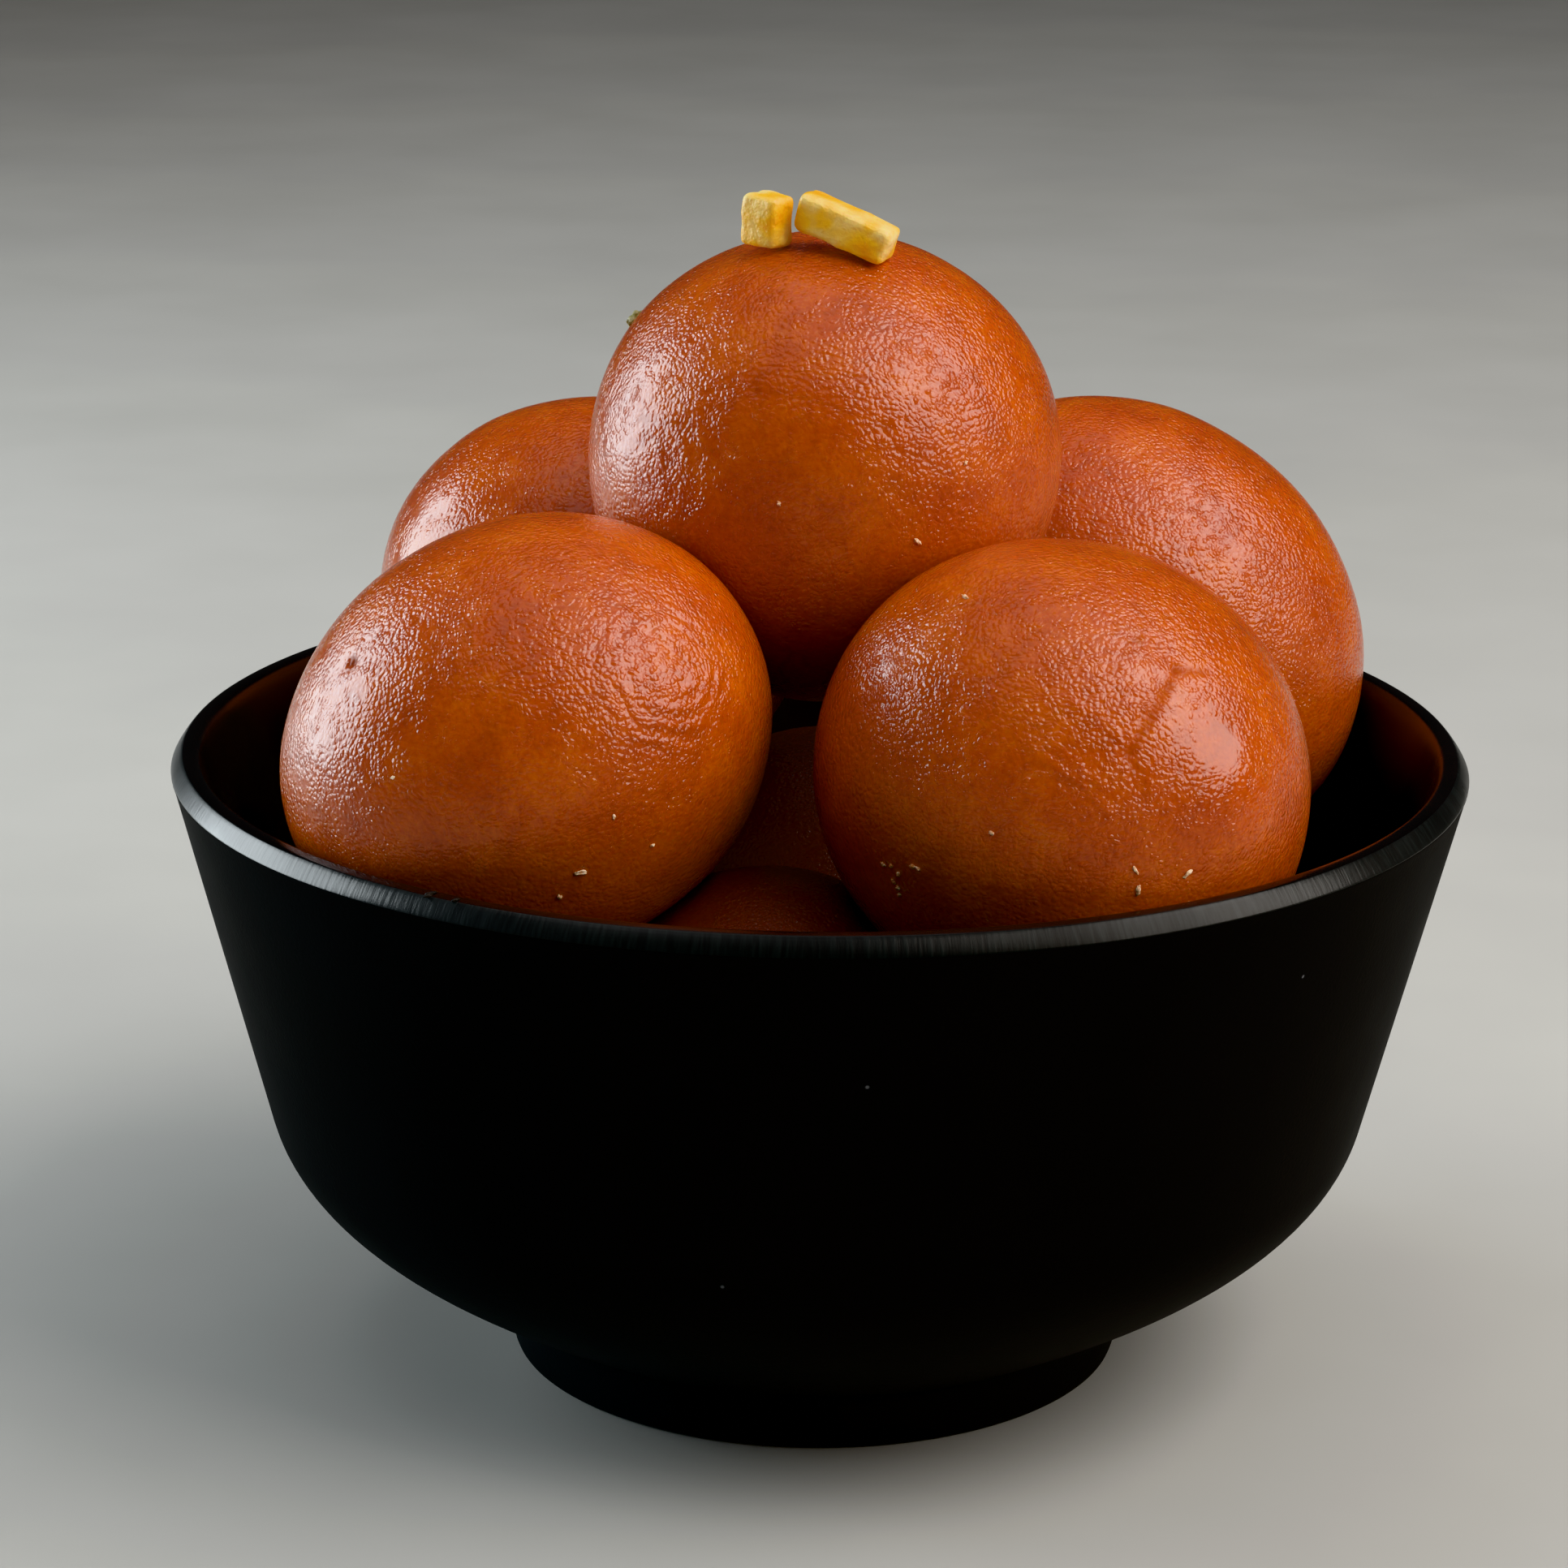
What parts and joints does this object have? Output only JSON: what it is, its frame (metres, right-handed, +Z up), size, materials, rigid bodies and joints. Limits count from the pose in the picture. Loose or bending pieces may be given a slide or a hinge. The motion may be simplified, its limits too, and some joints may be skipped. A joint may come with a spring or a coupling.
{
  "type": "bowl of gulab jamun",
  "caption": "Small footed rice bowl heaped with soft round dough balls glazed in syrup, the top one dressed with nut slivers; it stands on its foot ring.",
  "frame": {"origin": "middle of the foot ring's underside, on the table", "axes": "+Z up, along the bowl's axis; -Y towards the viewer, the side with the two front balls; +X to the viewer's right"},
  "size_m": [0.12, 0.12, 0.1114],
  "materials": {
    "melamine": "satin",
    "glazed_dough": "gloss",
    "nut": "satin"
  },
  "bodies": {
    "root": {"bowl": "melamine", "ball_top": "glazed_dough", "ball_front_left": "glazed_dough", "ball_front_right": "glazed_dough", "ball_back_left": "glazed_dough", "ball_back_right": "glazed_dough", "ball_low_front": "glazed_dough", "ball_low_back": "glazed_dough", "ball_low_left": "glazed_dough", "ball_low_right": "glazed_dough", "nut_left": "nut", "nut_right": "nut"}
  },
  "joints": []
}
